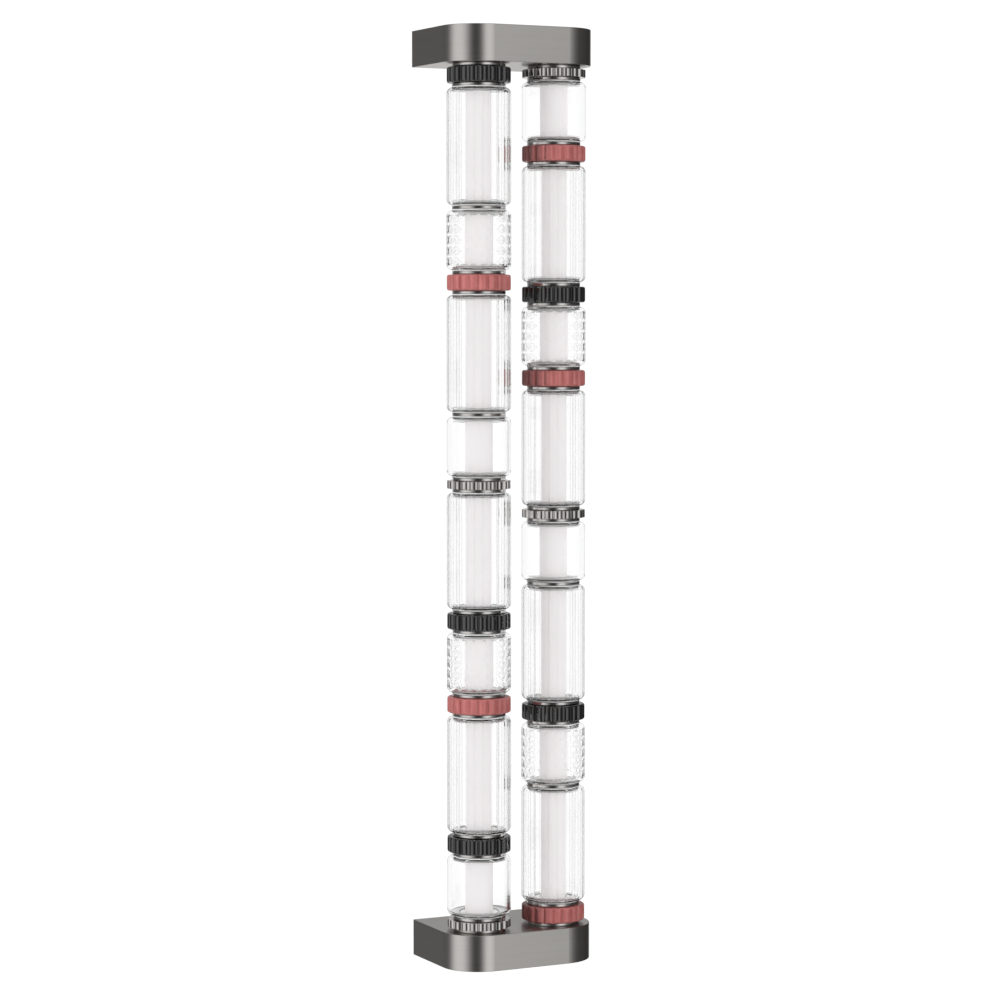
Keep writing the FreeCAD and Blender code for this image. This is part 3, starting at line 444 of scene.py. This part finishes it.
def grip_ring(name, kind):
    """A ring of rounded ribs with softened edges, on its own body."""
    low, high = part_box(name)
    radius, height = (high.x - low.x) / 2, high.z - low.z
    rim, rib_middle = RING_RIM[kind], radius + RIB_TRIM - RIB_RADIUS
    section = arc((radius - rim, rim), rim, -90, 0, ROUND_STEPS)
    section += straight(radius, rim, height - rim, WALL_STEPS["ring"])
    section += arc((radius - rim, height - rim), rim, 0, 90, ROUND_STEPS)
    section += arc((RING_BORE + BORE_EDGE, height - BORE_EDGE), BORE_EDGE, 90, 180, EDGE_STEPS)
    section += arc((RING_BORE + BORE_EDGE, BORE_EDGE), BORE_EDGE, 180, 270, EDGE_STEPS)

    def ribbed(across, up, angle):
        if across < radius - RIBBED_DEPTH:
            return across, 0.0
        off = FULL_TURN / RIBS / 2 - abs(off_nearest(angle, RIBS, RIB_TURN))
        crest = rib_middle * math.cos(off) + math.sqrt(
            RIB_RADIUS ** 2 - (rib_middle * math.sin(off)) ** 2)
        return soft_minimum(across, crest, RIB_BLEND), 0.0

    turned(name, section, SEGMENTS["ring"], ribbed, name, RING_SLOTS[kind])


for name in sorted(nodes):
    kind, _, _ = name.partition("_")
    if "_glass_" in name:
        sleeve(name, kind)
    elif "_ring_" in name:
        grip_ring(name, kind)


# ---------------------------------------------------------------- light and camera

WHITE = 1.04  # background and floor, just past full white
LIGHT_DISTANCE = 2.2  # from the lamp's axis
FLOOR_DROP, FLOOR_REACH = 2.0, 40.0  # below the lamp, and half the floor's side


def studio():
    """White behind everything that is looked at directly or through glass; the metal sees
    a dim room with tall softboxes in front and a pale wall behind, so that its edges read."""
    world = bpy.data.worlds.new("studio")
    scene.world = world
    world.use_nodes = True
    tree = world.node_tree
    tree.nodes.clear()
    direction = add(tree, "ShaderNodeTexCoord").outputs["Generated"]
    parts = add(tree, "ShaderNodeSeparateXYZ", {"Vector": direction})
    left = math_node(tree, "MULTIPLY", parts.outputs["X"], -1.0)
    front = math_node(tree, "MULTIPLY", parts.outputs["Y"], -1.0)
    around = math_node(tree, "MULTIPLY_ADD", math_node(tree, "ARCTAN2", left, front),
                       0.5 / math.pi, 0.5)
    height = math_node(tree, "MULTIPLY_ADD", parts.outputs["Z"], 0.5, 0.5)

    def by_azimuth(levels):
        """Brightness at degrees round from the lamp's front towards its left."""
        return ramp(tree, around, [((azimuth + 180) / 360, level) for azimuth, level in levels],
                    "EASE")

    softboxes = by_azimuth(((-125, 0.04), (-60, 0.07), (-42, 0.18), (-14, 0.97), (-6, 0.97),
                            (20, 0.06), (35, 0.05), (76, 0.92), (92, 0.92), (126, 0.13),
                            (165, 0.12)))
    behind = by_azimuth(((-180, 1.0), (-145, 1.0), (-125, 0.0), (165, 0.0), (180, 1.0)))
    wall = ramp(tree, height, ((0.0, 0.75), (0.45, 0.75), (0.53, 0.48), (0.7, 0.4), (1.0, 0.35)))
    room = math_node(tree, "ADD", softboxes, math_node(tree, "MULTIPLY", behind, wall))
    path = add(tree, "ShaderNodeLightPath")
    direct = math_node(tree, "MAXIMUM", path.outputs["Is Camera Ray"],
                       path.outputs["Is Transmission Ray"])
    # Only the glass is perfectly sharp. It mirrors an even, pale room.
    off_glass = mix_numbers(tree, path.outputs["Is Singular Ray"], room, 0.6)
    level = mix_numbers(tree, direct, off_glass, 1.0)
    background = add(tree, "ShaderNodeBackground", {"Color": level, "Strength": WHITE})
    output = add(tree, "ShaderNodeOutputWorld")
    tree.links.new(background.outputs[0], output.inputs[0])


def softbox(name, azimuth, height, width, length, power):
    """A soft light for the matt surfaces, aimed at the lamp and not mirrored in it. The azimuth is
    in degrees round from the lamp's front towards its left."""
    data = bpy.data.lights.new(name, "AREA")
    data.shape, data.size, data.size_y, data.energy = "RECTANGLE", width, length, power
    light = bpy.data.objects.new(name, data)
    scene.collection.objects.link(light)
    turn = math.radians(azimuth)
    light.location = (Vector((-math.sin(turn), -math.cos(turn), 0)) * LIGHT_DISTANCE
                      + Vector((0, 0, height)))
    light.rotation_euler = (-light.location).to_track_quat("-Z", "Y").to_euler()
    light.visible_glossy = light.visible_camera = light.visible_transmission = False


def floor():
    """A pale floor well below the lamp, which hangs on a wall."""
    height = cad_box[0].z - FLOOR_DROP
    mesh = bmesh.new()
    corners = [mesh.verts.new((x * FLOOR_REACH, y * FLOOR_REACH, height))
               for x, y in ((-1, -1), (1, -1), (1, 1), (-1, 1))]
    mesh.faces.new(corners)
    data = bpy.data.meshes.new("floor")
    mesh.to_mesh(data)
    mesh.free()
    plane = bpy.data.objects.new("floor", data)
    scene.collection.objects.link(plane)
    material = bpy.data.materials.new("floor")
    material.use_nodes = True
    tree = material.node_tree
    tree.nodes.clear()
    glow = add(tree, "ShaderNodeEmission", {"Color": (1.0, 1.0, 1.0, 1.0), "Strength": WHITE})
    output = add(tree, "ShaderNodeOutputMaterial")
    tree.links.new(glow.outputs[0], output.inputs[0])
    data.materials.append(material)
    plane.visible_glossy = plane.visible_diffuse = False


def camera():
    """From the lamp's front left, a little above its middle, with a long lens."""
    data = bpy.data.cameras.new("camera")
    data.lens, data.sensor_width = 110.635, 36.0
    data.clip_end = 200.0
    made = bpy.data.objects.new("camera", data)
    scene.collection.objects.link(made)
    made.location = (-1.2893, -2.6434, 0.1707)
    towards = Vector((0.4424, 0.8949, -0.0596))
    made.rotation_euler = towards.to_track_quat("-Z", "Y").to_euler()
    scene.camera = made


studio()
softbox("key", azimuth=84, height=0.5, width=0.7, length=1.8, power=45.0)
softbox("fill", azimuth=-16, height=0.3, width=0.7, length=1.8, power=30.0)
floor()
camera()
scene.view_settings.view_transform = "Standard"
scene.view_settings.look = "None"
scene.cycles.use_denoising = True
scene.cycles.max_bounces = 24
scene.cycles.transmission_bounces = 24
scene.cycles.glossy_bounces = 8
